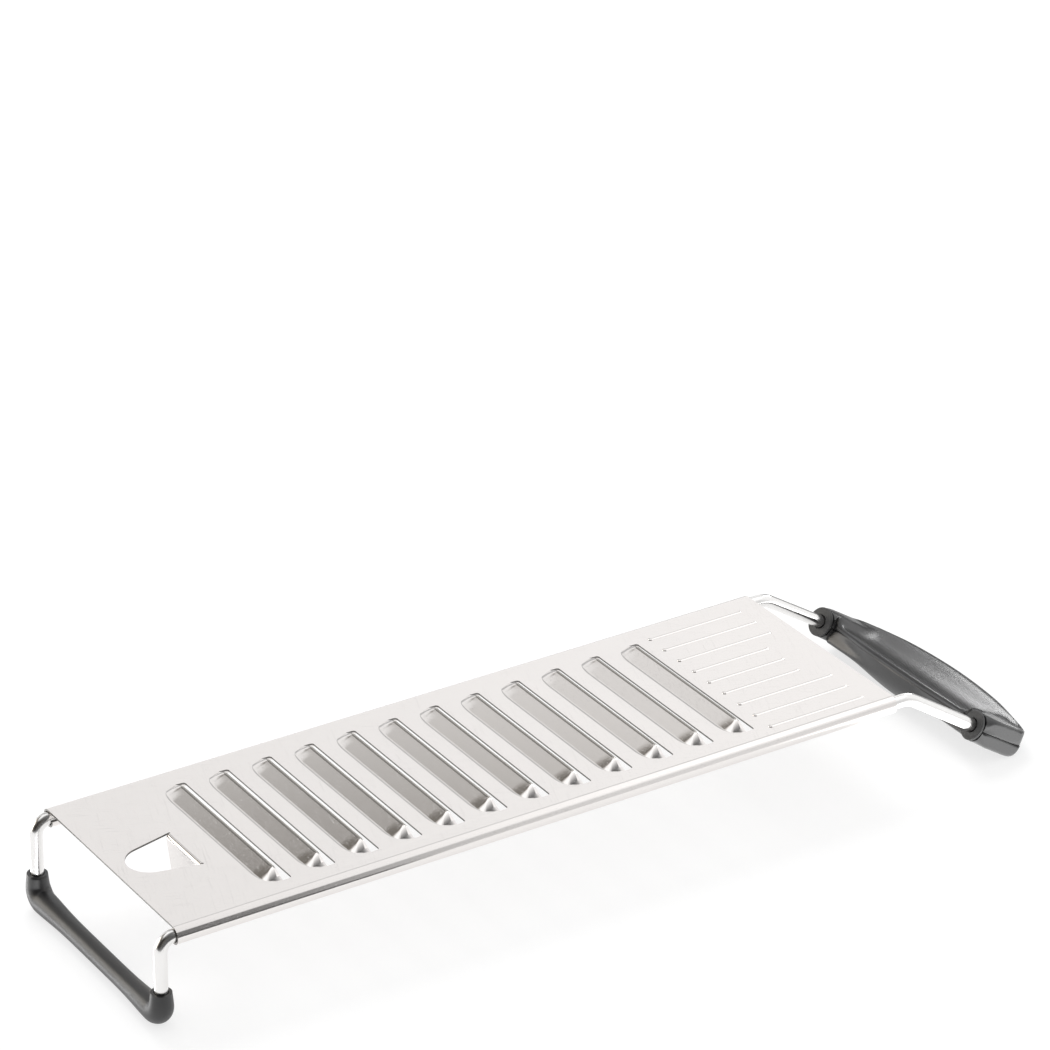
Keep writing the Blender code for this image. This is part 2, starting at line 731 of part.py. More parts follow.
def cut(obj, cutter):
    boolean = obj.modifiers.new(cutter.name, "BOOLEAN")
    boolean.operation = "DIFFERENCE"
    boolean.solver = "EXACT"
    boolean.object = cutter


def add_collar(parent, side, name, material):
    """A flanged bush that closes the socket round the wire."""
    profile = [
        (0, BORE_RADIUS), (0, TUBE_RADIUS), (FLANGE, TUBE_RADIUS),
        (FLANGE, COLLAR_NECK_RADIUS), (COLLAR_LENGTH, COLLAR_NECK_RADIUS),
        (COLLAR_LENGTH, BORE_RADIUS),
    ]
    collar = add_object(name, turned_mesh(name, profile), parent, material)
    point_along_neck(collar, side)
    return collar


def add_handle(parent):
    """The handle's body, its dished cover and the two collars that the wire goes through."""
    body = add_loft("handle_body", body_section, handle_plastic(), parent)
    cover = add_loft("handle_cover", cover_section, cover_plastic(), parent)
    bush = collar_plastic()
    for side, place in ((-1, "near"), (1, "far")):
        cutter = add_socket_cutter(parent, side, f"socket_cutter_{place}")
        cut(body, cutter)
        cut(cover, cutter)
        add_collar(parent, side, f"handle_collar_{place}", bush)


def main():
    remove_scene()
    slicer = bpy.data.objects.new("slicer", None)
    bpy.context.collection.objects.link(slicer)
    slicer.location.x = -(FOOT_X + HANDLE_X) / 2
    add_plate(slicer)
    add_wire(slicer)
    add_sleeve(slicer)
    add_handle(slicer)


main()
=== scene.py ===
# %% [markdown]
# # A flat potato slicer
#
# The object is a stainless sheet whose long edges are curled round one bent wire. The wire's
# middle is the foot, in a black sleeve, and its two ends sit in a moulded black handle. This
# file loads the packed solids, sets the camera and the studio, and then gives each piece its
# finished form and surface. All sizes are metres, +X runs from the foot to the handle, and +Z
# is up.

# %% Load the packed solids
import math

import bmesh
import bpy
from mathutils import Matrix, Vector


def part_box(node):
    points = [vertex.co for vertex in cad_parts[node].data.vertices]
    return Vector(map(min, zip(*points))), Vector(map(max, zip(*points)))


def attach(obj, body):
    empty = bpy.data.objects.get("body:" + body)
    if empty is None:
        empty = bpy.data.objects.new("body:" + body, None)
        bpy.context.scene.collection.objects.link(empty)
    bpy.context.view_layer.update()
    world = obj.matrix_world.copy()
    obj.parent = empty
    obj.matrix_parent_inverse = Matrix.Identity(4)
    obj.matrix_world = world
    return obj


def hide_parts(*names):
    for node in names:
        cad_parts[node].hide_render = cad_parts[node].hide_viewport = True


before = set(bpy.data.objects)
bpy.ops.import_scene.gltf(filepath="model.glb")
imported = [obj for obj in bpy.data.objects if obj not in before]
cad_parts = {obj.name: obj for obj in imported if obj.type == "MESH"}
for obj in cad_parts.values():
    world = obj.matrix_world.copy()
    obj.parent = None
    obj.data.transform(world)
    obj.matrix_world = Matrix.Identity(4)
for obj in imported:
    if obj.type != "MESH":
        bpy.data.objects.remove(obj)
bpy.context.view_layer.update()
print("solids:", ", ".join(sorted(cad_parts)))

# %% [markdown]
# ## The camera
#
# A product photograph is taken with a long lens from a little way off, so that parallel edges
# stay nearly parallel. The camera here stands 1.9 m away. It is turned by three plain angles:
# round the vertical, up from straight down, and a small roll.

# %% Set the camera
CAMERA_PLACE = Vector((-0.88450, -1.43249, 0.97954))
CAMERA_TURN = math.radians(-31.4796)
CAMERA_TILT = math.radians(63.3805)
CAMERA_ROLL = math.radians(-0.7381)
LENS = 163.094
SENSOR = 36.0
NEAREST_SEEN = 0.1
FARTHEST_SEEN = 20


def add_camera():
    data = bpy.data.cameras.new("camera")
    data.lens = LENS
    data.sensor_width = SENSOR
    data.clip_start = NEAREST_SEEN
    data.clip_end = FARTHEST_SEEN
    camera = bpy.data.objects.new("camera", data)
    bpy.context.collection.objects.link(camera)
    turn = Matrix.Rotation(CAMERA_TURN, 4, "Z")
    tilt = Matrix.Rotation(CAMERA_TILT, 4, "X")
    roll = Matrix.Rotation(CAMERA_ROLL, 4, "Z")
    camera.matrix_world = Matrix.Translation(CAMERA_PLACE) @ turn @ tilt @ roll
    bpy.context.scene.camera = camera
    return camera


camera = add_camera()
print("camera at", [round(value, 3) for value in camera.matrix_world.translation])

# %% [markdown]
# ## Writing shader maths as plain expressions
#
# A finish is a small network of nodes, and joining nodes by hand is hard to read. The class
# `Value` wraps one output, so `1 - grain * 0.3` adds the Math nodes that it needs. Every other
# node comes from `Finish.node`, which sets the node up first and then feeds its sockets.

# %% Wrap shader sockets


class Value:
    """One output of a node, on which Python's operators add Math nodes."""

    def __init__(self, finish, node, output=0):
        self.finish = finish
        self.node = node
        self.key = output

    def socket(self):
        return self.node.outputs[self.key]

    def other(self, output):
        """Another output of the same node."""
        return Value(self.finish, self.node, output)

    def maths(self, operation, first, second):
        return self.finish.node(
            "ShaderNodeMath", {"operation": operation}, {0: first, 1: second}
        )

    def __add__(self, other):
        return self.maths("ADD", self, other)

    __radd__ = __add__

    def __mul__(self, other):
        return self.maths("MULTIPLY", self, other)

    __rmul__ = __mul__

    def __sub__(self, other):
        return self.maths("SUBTRACT", self, other)

    def __rsub__(self, other):
        return self.maths("SUBTRACT", other, self)

    def __truediv__(self, other):
        return self.maths("DIVIDE", self, other)


class Finish:
    """A node tree that is filled by asking for one node at a time."""

    def __init__(self, tree):
        self.tree = tree
        tree.nodes.clear()

    def node(self, kind, settings=None, sockets=None, output=0):
        made = self.tree.nodes.new(kind)
        for key, value in (settings or {}).items():
            setattr(made, key, value)
        for key, value in (sockets or {}).items():
            self.feed(made.inputs[key], value)
        return Value(self, made, output)

    def feed(self, socket, value):
        if isinstance(value, Value):
            self.tree.links.new(value.socket(), socket)
        elif socket.type == "RGBA" and len(value) == 3:
            socket.default_value = (*value, 1)
        else:
            socket.default_value = value

    def mix_colours(self, share, first, second):
        settings = {"data_type": "RGBA", "clamp_factor": True}
        return self.node("ShaderNodeMix", settings, {0: share, 6: first, 7: second}, output=2)

    def between(self, value, start, end):
        """0 below start, 1 above end, and a smooth rise between them."""
        settings = {"interpolation_type": "SMOOTHSTEP"}
        return self.node("ShaderNodeMapRange", settings, {0: value, 1: start, 2: end})

    def until(self, value, start, end):
        """1 below start, 0 above end, and a smooth fall between them."""
        return 1.0 - self.between(value, start, end)

    def place(self):
        return self.node("ShaderNodeTexCoord", output="Object")

    def noise(self, scale, detail=2.0, roughness=0.5, place=None):
        """Noise from 0 to 1 on the piece, with a scale of its own along each axis."""
        settings = {"operation": "MULTIPLY"}
        sockets = {0: place or self.place(), 1: scale}
        scaled = self.node("ShaderNodeVectorMath", settings, sockets)
        sockets = {"Vector": scaled, "Scale": 1.0, "Detail": detail, "Roughness": roughness}
        return self.node("ShaderNodeTexNoise", {}, sockets)

    def bump(self, height, depth):
        """A relief whose height, from 0 to 1, stands for a depth in metres."""
        return self.node("ShaderNodeBump", {}, {"Height": height, "Distance": depth})


print("operators ready:", [name for name in vars(Value) if name.startswith("__r")])

# %% [markdown]
# ## The studio
#
# The slicer stands on a white sweep. One plain level of light from all sides lights what is
# matt, so that colours render as written. Polished steel shows whatever surrounds it, so what
# reflections see is drawn as a photographer's set. A direction has three parts, across, deep
# and high, and each thing in the set is a product of soft edges along them. An edge is written
# as the two values that it lies between.
#
# The back of the set is the white sweep. On it are a warm grey patch, which the flat plate and
# the louvres reflect, the dark ceiling, and a few weaker shades and lights.

# %% Draw the sweep that reflections see
PATCH_SLOPE = 1.04
PATCH_LOW_EDGE = (0.731, 0.757)
PATCH_HIGH_EDGE = (0.76, 0.84)
PATCH_RIGHT_EDGE = (-0.115, -0.045)
PATCH_RIGHT_LOSS = 0.95
PATCH_DEPTH = 0.82
LEFT_PART_EDGE = (0.25, 0.35)
CEILING_EDGE = (-0.20, 0.20)
CEILING_DEPTH = 0.85
FOLD_SHADE_LOW = (0.55, 0.60)
FOLD_SHADE_HIGH = (0.64, 0.70)
FOLD_SHADE_BACK = (0.2, 0.4)
FOLD_SHADE_DEPTH = 0.5
SWEEP_BASE = 0.97
RIGHT_LIGHT_EDGE = (0.36, 0.52)
RIGHT_LIGHT = 0.10
OVERHEAD_LOW_EDGE = (0.72, 0.80)
OVERHEAD_LEFT_EDGE = (0.44, 0.50)
OVERHEAD_LIGHT = 0.35
FRAME_LINE_LEFT = (0.02, 0.10)
FRAME_LINE_RIGHT = (0.26, 0.34)
FRAME_LINE_BACK = (0.40, 0.46)
FRAME_LINE_DEPTH = 0.45
LOW_SHADE_LEFT = (0.59, 0.64)
LOW_SHADE_HIGH = (0.28, 0.36)
LOW_SHADE_BACK = (0.3, 0.5)
LOW_SHADE_DEPTH = 0.8
CORNER_LIGHT_LOW = (0.79, 0.87)
CORNER_LIGHT_BACK = (0.16, 0.30)
CORNER_LIGHT_RIGHT = (0.16, 0.26)
CORNER_LIGHT = 0.3


def grey_patch(studio, across, high):
    """The share of the grey patch in each direction. Its lower edge climbs to the right."""
    low_edge = studio.between(high - across * PATCH_SLOPE, *PATCH_LOW_EDGE)
    patch = low_edge * studio.until(high, *PATCH_HIGH_EDGE)
    return patch * (1.0 - studio.between(across, *PATCH_RIGHT_EDGE) * PATCH_RIGHT_LOSS)


def drawn_sweep(studio, across, deep, high, patch):
    """The level of the sweep in each direction: 0 is black, and 1 is white."""
    overhead = studio.between(high, *OVERHEAD_LOW_EDGE)
    left = studio.until(across, *LEFT_PART_EDGE)
    ceiling = studio.between(deep * -1.0, *CEILING_EDGE) * left
    fold_shade = studio.between(high, *FOLD_SHADE_LOW) * studio.until(high, *FOLD_SHADE_HIGH)
    fold_shade = fold_shade * (1.0 - left) * studio.between(deep, *FOLD_SHADE_BACK)
    sweep = SWEEP_BASE + studio.between(across, *RIGHT_LIGHT_EDGE) * RIGHT_LIGHT
    sweep = sweep + overhead * studio.between(across, *OVERHEAD_LEFT_EDGE) * OVERHEAD_LIGHT
    sweep = sweep * (1.0 - patch * PATCH_DEPTH) * (1.0 - ceiling * CEILING_DEPTH)
    sweep = sweep * (1.0 - fold_shade * FOLD_SHADE_DEPTH)
    line = studio.between(across, *FRAME_LINE_LEFT) * studio.until(across, *FRAME_LINE_RIGHT)
    line = line * studio.between(deep, *FRAME_LINE_BACK)
    sweep = sweep * (1.0 - line * FRAME_LINE_DEPTH)
    low_shade = studio.between(across, *LOW_SHADE_LEFT) * studio.until(high, *LOW_SHADE_HIGH)
    low_shade = low_shade * studio.between(deep, *LOW_SHADE_BACK)
    sweep = sweep * (1.0 - low_shade * LOW_SHADE_DEPTH)
    corner = studio.between(high, *CORNER_LIGHT_LOW) * studio.between(deep, *CORNER_LIGHT_BACK)
    return sweep * (1.0 + corner * studio.until(across, *CORNER_LIGHT_RIGHT) * CORNER_LIGHT)


print("the sweep falls to", round(1 - PATCH_DEPTH, 2), "of its level in the grey patch")

# %% [markdown]
# The front of the set is the dark room behind the camera, which has a pale wall on its right.
# A bright window stands low on the left of the sweep. The world shader puts the parts together:
# the camera sees plain white, reflections see the set, and matt light is one plain level.

# %% Put the set into the world
DIFFUSE_LEVEL = 0.70
BACKGROUND_LEVEL = 1.0
ROOM_LEVEL = 0.11
ROOM_BACK_EDGE = (0.56, 0.68)
ROOM_HIGH_EDGE = (0.68, 0.75)
PALE_WALL_EDGE = (0.415, 0.430)
PALE_WALL_LEVEL = 0.85
WINDOW_RIGHT_EDGE = (0.32, 0.45)
WINDOW_HIGH_EDGE = (0.45, 0.60)
WINDOW_FRONT_EDGE = (0.25, 0.45)
WINDOW_LEVEL = 3.0
WHITE = (1, 1, 1)
PATCH_TINT = (1.0, 0.93, 0.83)


def drawn_set(studio):
    """What a reflection sees in each direction, and the grey patch's share of it."""
    way = studio.node("ShaderNodeTexCoord", output="Generated")
    split = studio.node("ShaderNodeSeparateXYZ", {}, {0: way})
    across, deep, high = (split.other(axis) for axis in "XYZ")
    patch = grey_patch(studio, across, high)
    sweep = drawn_sweep(studio, across, deep, high, patch)
    front = studio.between(deep * -1.0, *ROOM_BACK_EDGE) * studio.until(high, *ROOM_HIGH_EDGE)
    wall = studio.between(across, *PALE_WALL_EDGE)
    room = ROOM_LEVEL + wall * (PALE_WALL_LEVEL - ROOM_LEVEL)
    window = studio.between(across * -1.0, *WINDOW_RIGHT_EDGE)
    window = window * studio.until(high, *WINDOW_HIGH_EDGE)
    window = window * studio.between(deep, *WINDOW_FRONT_EDGE) * WINDOW_LEVEL
    return sweep * (1.0 - front) + room * front + window, patch


def add_world():
    world = bpy.data.worlds.new("studio")
    world.use_nodes = True
    studio = Finish(world.node_tree)
    light_path = studio.node("ShaderNodeLightPath")
    camera_ray = light_path.other("Is Camera Ray")
    glossy_ray = light_path.other("Is Glossy Ray")
    shade, patch = drawn_set(studio)
    level = glossy_ray * shade + (1.0 - glossy_ray) * DIFFUSE_LEVEL
    strength = camera_ray * BACKGROUND_LEVEL + (1.0 - camera_ray) * level
    colour = studio.mix_colours(patch * glossy_ray, WHITE, PATCH_TINT)
    light = studio.node("ShaderNodeBackground", {}, {"Color": colour, "Strength": strength})
    studio.node("ShaderNodeOutputWorld", {}, {"Surface": light})
    return world


bpy.context.scene.world = add_world()
bpy.context.scene.view_settings.view_transform = "Standard"
print("world nodes:", len(bpy.context.scene.world.node_tree.nodes))

# %% [markdown]
# Two lamps finish the light. A large soft one behind the slicer casts faint shadows towards the
# camera, and stays out of reflections. The other is a small glowing card behind the handle,
# which only reflections see, as a photographer would put a white card beside a black gloss.

# %% Add the lamps
SOFT_LAMP_PLACE = (0.25, 1.1, 1.5)
SOFT_LAMP_AIM = (0, 0, 0)
SOFT_LAMP_SIZE = 1.1
SOFT_LAMP_POWER = 13
HANDLE_CARD_PLACE = (0.422, 0.195, 0.172)
HANDLE_CARD_AIM = (0.198, -0.04, 0.011)
HANDLE_CARD_SIZE = 0.07
HANDLE_CARD_LEVEL = 11.0


def add_area_lamp(name, place, target, shape, size, power):
    data = bpy.data.lights.new(name, "AREA")
    data.shape = shape
    data.size = size
    data.energy = power
    lamp = bpy.data.objects.new(name, data)
    bpy.context.collection.objects.link(lamp)
    lamp.location = place
    lamp.rotation_mode = "QUATERNION"
    lamp.rotation_quaternion = (Vector(target) - Vector(place)).to_track_quat("-Z", "Y")
    return lamp


soft_lamp = add_area_lamp(
    "soft_lamp_back", SOFT_LAMP_PLACE, SOFT_LAMP_AIM, "DISK", SOFT_LAMP_SIZE, SOFT_LAMP_POWER
)
soft_lamp.visible_glossy = False
card_power = HANDLE_CARD_LEVEL * math.pi * HANDLE_CARD_SIZE**2
handle_card = add_area_lamp(
    "handle_card", HANDLE_CARD_PLACE, HANDLE_CARD_AIM, "SQUARE", HANDLE_CARD_SIZE, card_power
)
handle_card.visible_camera = False
handle_card.visible_diffuse = False
print("lamps:", soft_lamp.name, handle_card.name, "at", round(card_power, 3), "W")

# %% [markdown]
# The floor is a disc of white paper. Part of its surface glows, so that it shows as white, and
# the rest is matt, so that it takes the shadow. The curled edge, the legs and the handle mirror
# the floor close to them, so for reflections alone a dark cloth lies on it at the front left,
# bright cards lie at the front right and beside the foot, and it is dark behind the handle.

# %% Lay the floor
FLOOR_RADIUS = 3.0
FLOOR_SIDES = 64
PAPER_WHITE = (0.92, 0.92, 0.92)
GLOW_LEVEL = 1.18
GLOW_SHARE = 0.61
CLOTH_BACK_EDGE = (0.19, 0.20)
CLOTH_SLANT = 0.5
CLOTH_RIGHT_EDGE = (-0.14, -0.10)
CARD_LEFT_EDGE = (0.13, 0.18)
CARD_BACK_EDGE = (-0.01, 0.03)
CARD_FRONT_EDGE = (0.16, 0.19)
CARD_LEVEL = 3.0
FOOT_CARD_RIGHT_EDGE = (0.212, 0.222)
FOOT_CARD_LEFT_EDGE = (0.221, 0.229)
FOOT_CARD_FRONT_EDGE = (0.01, 0.05)
FOOT_CARD_LEVEL = 9.0
DARK_LEFT_EDGE = (0.22, 0.26)
DARK_FRONT_EDGE = (-0.09, -0.04)
DARK_RIGHT_EDGE = (0.25, 0.30)


def floor_cards(paper, across, to_front, glossy_ray):
    """How much more than the paper the two cards glow, in reflections."""
    card = paper.between(to_front, *CARD_BACK_EDGE) * glossy_ray
    card = paper.between(across, *CARD_LEFT_EDGE) * card
    card = card * paper.until(to_front, *CARD_FRONT_EDGE) * CARD_LEVEL
    to_left = across * -1.0
    foot_card = paper.between(to_left, *FOOT_CARD_RIGHT_EDGE) * glossy_ray * FOOT_CARD_LEVEL
    foot_card = foot_card * paper.until(to_front, *FOOT_CARD_FRONT_EDGE)
    return card + foot_card * paper.until(to_left, *FOOT_CARD_LEFT_EDGE)


def floor_darks(paper, across, to_front, glossy_ray):
    """1 on the dark cloth and behind the handle, in reflections."""
    cloth = paper.between(to_front, *CLOTH_BACK_EDGE)
    slant = across - to_front * CLOTH_SLANT
    cloth = cloth * paper.until(slant, *CLOTH_RIGHT_EDGE) * glossy_ray
    behind = paper.until(to_front, *DARK_FRONT_EDGE) * glossy_ray
    behind = behind * paper.until(across + to_front, *DARK_RIGHT_EDGE)
    return cloth + paper.between(across, *DARK_LEFT_EDGE) * behind


def sweep_paper():
    material = bpy.data.materials.new("white_sweep")
    material.use_nodes = True
    paper = Finish(material.node_tree)
    split = paper.node("ShaderNodeSeparateXYZ", {}, {0: paper.place()})
    across, to_front = split.other("X"), split.other("Y") * -1.0
    light_path = paper.node("ShaderNodeLightPath")
    glossy_ray = light_path.other("Is Glossy Ray")
    cards = floor_cards(paper, across, to_front, glossy_ray)
    dark = floor_darks(paper, across, to_front, glossy_ray)
    strength = GLOW_LEVEL + cards - dark * (GLOW_LEVEL - ROOM_LEVEL)
    glow = paper.node("ShaderNodeEmission", {}, {"Color": WHITE, "Strength": strength})
    matt = paper.node("ShaderNodeBsdfDiffuse", {}, {"Color": PAPER_WHITE})
    seen = light_path.other("Is Camera Ray") + glossy_ray
    share = seen * GLOW_SHARE + dark * (1.0 - GLOW_SHARE)
    surface = paper.node("ShaderNodeMixShader", {}, {0: share, 1: matt, 2: glow})
    paper.node("ShaderNodeOutputMaterial", {}, {"Surface": surface})
    return material


def add_floor():
    bm = bmesh.new()
    bmesh.ops.create_circle(bm, cap_ends=True, radius=FLOOR_RADIUS, segments=FLOOR_SIDES)
    mesh = bpy.data.meshes.new("sweep")
    bm.to_mesh(mesh)
    bm.free()
    mesh.materials.append(sweep_paper())
    floor = bpy.data.objects.new("sweep", mesh)
    bpy.context.collection.objects.link(floor)
    return floor


floor = add_floor()
print("floor:", [round(size, 2) for size in floor.dimensions])

# %% [markdown]
# ## Steel finishes
#
# The sheet is bright rolled stainless. Its grain is so fine that it only softens reflections,
# and on top lie hair scratches from use, in two directions. Clouds in the colour are slow
# changes over some centimetres. The wire is drawn through a die, and its shine is cloudy.

# %% Finish the sheet and the wire
STEEL = 1.0
SHEET_DARK = (0.83, 0.80, 0.785)
SHEET_LIGHT = (0.86, 0.83, 0.81)
SHEET_SHINE = 0.11
SHEET_GRAIN = (60, 1800, 1800)
SHEET_GRAIN_ROUGHENS = 0.05
SHEET_CLOUD = (18, 18, 18)
SHEET_RELIEF = 0.0000013
SCRATCHES = ((0.5, 2600), (1.9, 2200))
SCRATCH_STRETCH = 0.03
SCRATCH_NOISE = 0.6
SCRATCH_EDGE = (0.60, 0.68)
SCRATCH_SHARE = 0.6
SCRATCH_ROUGHENS = 0.16
SCRATCH_HEIGHT = 0.5
WIRE_DARK = (0.84, 0.83, 0.82)
WIRE_LIGHT = (0.88, 0.87, 0.86)
WIRE_SHINE = 0.16
WIRE_CLOUD = (220, 220, 220)
WIRE_CLOUD_ROUGHENS = 0.10
WIRE_RELIEF = 0.00001


def new_finish(name):
    material = bpy.data.materials.new(name)
    material.use_nodes = True
    return material, Finish(material.node_tree)


def close_finish(finish, sockets):
    surface = finish.node("ShaderNodeBsdfPrincipled", {}, sockets)
    finish.node("ShaderNodeOutputMaterial", {}, {"Surface": surface})


def hair_scratches(finish, turn, scale):
    """A share on thin scratches along one direction, and 0 beside them."""
    sockets = {"Vector": finish.place(), "Rotation": (0, 0, turn)}
    turned = finish.node("ShaderNodeMapping", {}, sockets)
    stretched = (scale * SCRATCH_STRETCH, scale, scale)
    line = finish.noise(stretched, roughness=SCRATCH_NOISE, place=turned)
    return finish.between(line, *SCRATCH_EDGE) * SCRATCH_SHARE


def rolled_sheet():
    material, finish = new_finish("rolled_sheet")
    grain = finish.noise(SHEET_GRAIN, detail=3.0)
    cloud = finish.noise(SHEET_CLOUD)
    first, second = (hair_scratches(finish, turn, scale) for turn, scale in SCRATCHES)
    scratches = first + second
    shine = SHEET_SHINE + grain * SHEET_GRAIN_ROUGHENS
    close_finish(finish, {
        "Base Color": finish.mix_colours(cloud, SHEET_DARK, SHEET_LIGHT),
        "Metallic": STEEL,
        "Roughness": shine + scratches * SCRATCH_ROUGHENS,
        "Normal": finish.bump(grain + scratches * SCRATCH_HEIGHT, SHEET_RELIEF),
    })
    return material


def bright_wire():
    material, finish = new_finish("bright_wire")
    cloud = finish.noise(WIRE_CLOUD, detail=3.0)
    close_finish(finish, {
        "Base Color": finish.mix_colours(cloud, WIRE_DARK, WIRE_LIGHT),
        "Metallic": STEEL,
        "Roughness": WIRE_SHINE + cloud * WIRE_CLOUD_ROUGHENS,
        "Normal": finish.bump(cloud, WIRE_RELIEF),
    })
    return material


sheet_finish = rolled_sheet()
wire_finish = bright_wire()
print("finishes:", sheet_finish.name, wire_finish.name)

# %% [markdown]
# Two more finishes belong to the sheet's edges. The strip ground beside each lip is greyer, and
# has painted shade along both its edges, a dark line at the crease and one at the lip's burr.
# The lines are drawn from the distance to the next lip, because the louvres repeat at one
# pitch.
# Sheared edges are matt with fine drag marks down them, and their dark colour is partly painted
# shade, for the shadow along the cut edge.

# %% Finish the edges
PLATE_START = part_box("cutting_plate")[0].x
FIRST_LIP = 0.0516
LOUVRE_PITCH = 0.0195
GROUND_EDGE = 0.0012
GROUND_STEEL = (0.64, 0.62, 0.59)
# The colour of the painted shade lines at the crease and at the lip's burr.
PAINTED_LINE_SHADE = (0.20, 0.19, 0.18)
PAINTED_LINE_SHADE_SHARE = 0.7
LINE_THIN = 0.0001
LINE_FULL = 0.0003
GROUND_SHINE = 0.20
GROUND_MARKS = (900, 60, 900)
GROUND_MARKS_ROUGHEN = 0.12
GROUND_RELIEF = 0.000004
# The cut's matt steel, darkened in part by painted shade along the cut edge.
SHEARED_SHADED_DARK = (0.14, 0.135, 0.13)
SHEARED_SHADED_LIGHT = (0.28, 0.27, 0.26)
SHEARED_SHINE = 0.38
DRAG_MARKS = (2500, 2500, 300)
DRAG_MARKS_ROUGHEN = 0.14
DRAG_RELIEF = 0.00001


def distance_to_lip(finish):
    """How far along the plate the next lip is, from 0 to one pitch."""
    along = finish.node("ShaderNodeSeparateXYZ", {}, {0: finish.place()}, output="X")
    steps = (along - PLATE_START - FIRST_LIP) / LOUVRE_PITCH + 1.0
    part = finish.node("ShaderNodeMath", {"operation": "FRACT"}, {0: steps})
    return (1.0 - part) * LOUVRE_PITCH


def ground_edge_and_shade():
    material, finish = new_finish("ground_edge_and_shade")
    to_lip = distance_to_lip(finish)
    # Painted shade: a dark line at the crease and one at the lip's burr.
    painted_shade_lines = finish.until(to_lip, LINE_THIN, LINE_FULL)
    painted_shade_lines = painted_shade_lines + finish.between(to_lip, GROUND_EDGE - LINE_FULL, GROUND_EDGE - LINE_THIN)
    marks = finish.noise(GROUND_MARKS)
    close_finish(finish, {
        "Base Color": finish.mix_colours(painted_shade_lines * PAINTED_LINE_SHADE_SHARE, GROUND_STEEL, PAINTED_LINE_SHADE),
        "Metallic": STEEL,
        "Roughness": GROUND_SHINE + marks * GROUND_MARKS_ROUGHEN,
        "Normal": finish.bump(marks, GROUND_RELIEF),
    })
    return material


def sheared_and_shaded_edge():
    material, finish = new_finish("sheared_and_shaded_edge")
    drag = finish.noise(DRAG_MARKS)
    close_finish(finish, {
        # Matt cut steel with drag marks, whose dark colour is partly painted shade along the
        # cut.
        "Base Color": finish.mix_colours(drag, SHEARED_SHADED_DARK, SHEARED_SHADED_LIGHT),
        "Metallic": STEEL,
        "Roughness": SHEARED_SHINE + drag * DRAG_MARKS_ROUGHEN,
        "Normal": finish.bump(drag, DRAG_RELIEF),
    })
    return material


ground_and_shade_finish = ground_edge_and_shade()
edge_finish = sheared_and_shaded_edge()
print("finishes:", ground_and_shade_finish.name, edge_finish.name, "from x =", round(PLATE_START, 5))

# %% [markdown]
# ## The louvred plate
#
# A press makes this plate from one sheet: twelve louvres are lanced up out of it, beads are
# pressed into its end, and a tongue is cut and bent down. The model follows the press. Only
# the sheet's underside is drawn, every pressed form first and then the flat round them, and a
# Solidify modifier gives it the sheet's thickness. A louvre starts as a plain grid, whose
# points are then moved to where the punch pushes them.

# %% Press one louvre
SHEET = 0.0008
PLATE_TOP = 0.0424
PLATE_LENGTH = 0.333
FLAT_Z = PLATE_TOP - SHEET
MERGE = 0.000002
LOUVRE_COUNT = 12
LOUVRE_MIDDLE = -0.0014
LOUVRE_HALF = 0.0437
LOUVRE_RISE = 0.0035
SLIT_WIDTH = 0.004
FIRST_SLIT = FIRST_LIP + SLIT_WIDTH
SLIT_CORNER = 0.0012
SLIT_CORNER_STEPS = 4
RAMP_WIDTH = 0.0082
LIP_INSET = 0.0072
CREASE_WIDTH = 0.0034
CREASE_END = 0.0024
FOLD_CORNER = 0.0095
CREASE_FOOT = LOUVRE_HALF - CREASE_END
LIP_HALF = LOUVRE_HALF - LIP_INSET
FOLD_SHARE = 0.2
FOLD_REACH = 1.5
FOLD_COLUMNS = 8
RAMP_COLUMNS = (0.3, 0.5, 0.7, 0.85, 1.0)
STRIP_COLUMNS = (1.35, 1.7, 2.0)
LIP_ROWS = 5
END_ROWS = 11
END_BULGE = 1.4


def ramp_rise(share):
    """The ramp's height at a share of its width: a tight fold, then a straight climb."""
    slope = 1 / (1 - FOLD_SHARE / 2)
    if share < FOLD_SHARE:
        return slope * share * share / (2 * FOLD_SHARE)
    return slope * (share - FOLD_SHARE / 2)


def louvre_columns():
    """Shares across a louvre: from 0 at the fold, past 1 at the crease, to 2 at the lip."""
    fold = [FOLD_SHARE * FOLD_REACH * step / FOLD_COLUMNS for step in range(FOLD_COLUMNS)]
    return [*fold, *RAMP_COLUMNS, *STRIP_COLUMNS]


def louvre_rows():
    """Distances from a louvre's middle, closer together where its end is rounded."""
    corner = CREASE_FOOT - FOLD_CORNER
    lip_turn = math.asin((LIP_HALF - corner) / FOLD_CORNER)
    end_turn = math.pi / 2 - lip_turn
    turns = [lip_turn * step / LIP_ROWS for step in range(LIP_ROWS)]
    turns += [lip_turn + end_turn * step / END_ROWS for step in range(END_ROWS + 1)]
    rows = [corner / 2, *(corner + FOLD_CORNER * math.sin(turn) for turn in turns)]
    return [*rows, LOUVRE_HALF]


def louvre_point(share, y):
    """How far a point lies before the lip, its distance from the middle, and its height."""
    into_corner = max(y - (CREASE_FOOT - FOLD_CORNER), 0.0) / FOLD_CORNER
    round_off = 1 - math.sqrt(max(1 - into_corner**2, 0.0))
    fold = RAMP_WIDTH - (RAMP_WIDTH - GROUND_EDGE - CREASE_WIDTH) * round_off
    into_end = min(max(y - LIP_HALF, 0.0) / (CREASE_FOOT - LIP_HALF), 1.0)
    crease = GROUND_EDGE + CREASE_WIDTH * into_end
    full = LOUVRE_RISE * ramp_rise(1 - GROUND_EDGE / RAMP_WIDTH)
    height = full * (1 - into_end**END_BULGE)
    if y > CREASE_FOOT:
        past = max(share - 1, 0.0)
        return crease * (1 - past), CREASE_FOOT + CREASE_END * past, 0.0
    if share <= 1:
        return fold + (crease - fold) * share, y, height * ramp_rise(share)
    lip = LOUVRE_RISE * (1 - (max(y - LIP_HALF, 0.0) / LIP_INSET) ** END_BULGE)
    return crease * (2 - share), y, height + (lip - height) * (share - 1)


